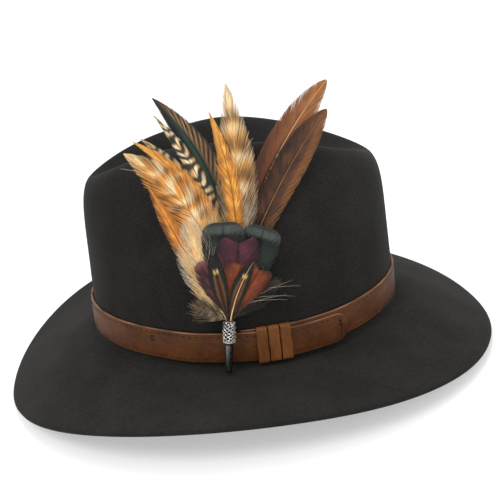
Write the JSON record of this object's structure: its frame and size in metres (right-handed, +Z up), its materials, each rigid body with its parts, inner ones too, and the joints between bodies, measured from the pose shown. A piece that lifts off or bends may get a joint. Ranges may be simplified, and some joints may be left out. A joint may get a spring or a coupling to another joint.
{
  "type": "fedora hat",
  "caption": "Felt fedora with a teardrop crown and a dipped brim, a leather strap band with keeper loops, and a clip-on feather brooch.",
  "frame": {"origin": "bottom centre of the hat's box as it stands on the front and back edges of its brim", "axes": "+X to the wearer's left, where the brooch is; +Y to the back of the hat; +Z up"},
  "size_m": [0.3167, 0.3332, 0.1903],
  "materials": {
    "felt": "short brushed wool nap, matt",
    "sweatband_leather": "smooth thin leather, satin",
    "reed": "plain",
    "thread": "waxed thread",
    "ribbon": "grosgrain ribbon",
    "lining": "satin weave",
    "strap_leather": "oiled leather, soft sheen, wear along the edges",
    "keeper_leather": "lighter oiled leather, vertical creases",
    "silver": "oxidised silver wire, bright on its high points",
    "gunmetal": "dark polished gunmetal",
    "spring_steel": "plain spring steel",
    "binding_thread": "wrapped thread",
    "pheasant_tail": "feather vane, mottled brown with a pale shaft",
    "black_green": "feather vane, green-black sheen with a tan rear edge",
    "grizzly": "feather vane, black and cream bars",
    "blonde_barred": "feather vane, blonde with brown and grey bars",
    "orange": "feather vane, orange",
    "tan_barred": "feather vane, orange and white with brown bars",
    "dark_green": "feather vane, green-grey with a dark bar",
    "cream_down": "loose cream down",
    "purple": "feather vane, maroon with a purple edge",
    "rust": "feather vane, rust red",
    "almond": "feather vane, black with a tan outline",
    "grey_down": "loose grey-brown down"
  },
  "bodies": {
    "hat": {"felt_body": "felt", "sweatband": "sweatband_leather", "sweatband_reed": "reed", "sweatband_stitches": "thread", "sweatband_bow": "ribbon", "lining_side": "lining", "lining_tip": "lining", "band_strap": "strap_leather", "band_tacks": "thread", "keeper_front": "keeper_leather", "keeper_middle": "keeper_leather", "keeper_rear": "keeper_leather"},
    "brooch": {"brooch_collar": "silver", "brooch_ferrule": "gunmetal", "brooch_clip": "spring_steel", "quill_binding": "binding_thread", "pheasant_tail_rear": "pheasant_tail", "pheasant_tail_front": "pheasant_tail", "black_green_feather": "black_green", "grizzly_hackle_inner": "grizzly", "grizzly_hackle_outer": "grizzly", "blonde_hackle_centre": "blonde_barred", "orange_hackle_centre": "orange", "orange_hackle_front": "orange", "barred_hackle_tan": "tan_barred", "orange_hackle_low": "orange", "green_feather_rear": "dark_green", "green_feather_front": "dark_green", "cream_fluff_front": "cream_down", "purple_feather": "purple", "maroon_feather_front": "purple", "rust_feather_top": "rust", "base_down_front": "grey_down", "rust_feather_rear": "rust", "almond_feather_front": "almond", "almond_feather_centre": "almond", "base_down_rear": "grey_down"}
  },
  "joints": [
    {"name": "brooch_lift", "type": "slide", "parent": "hat", "child": "brooch", "axis": [-0.1392, 0.1707, 0.9754], "range_m": [0, 0.027]}
  ]
}
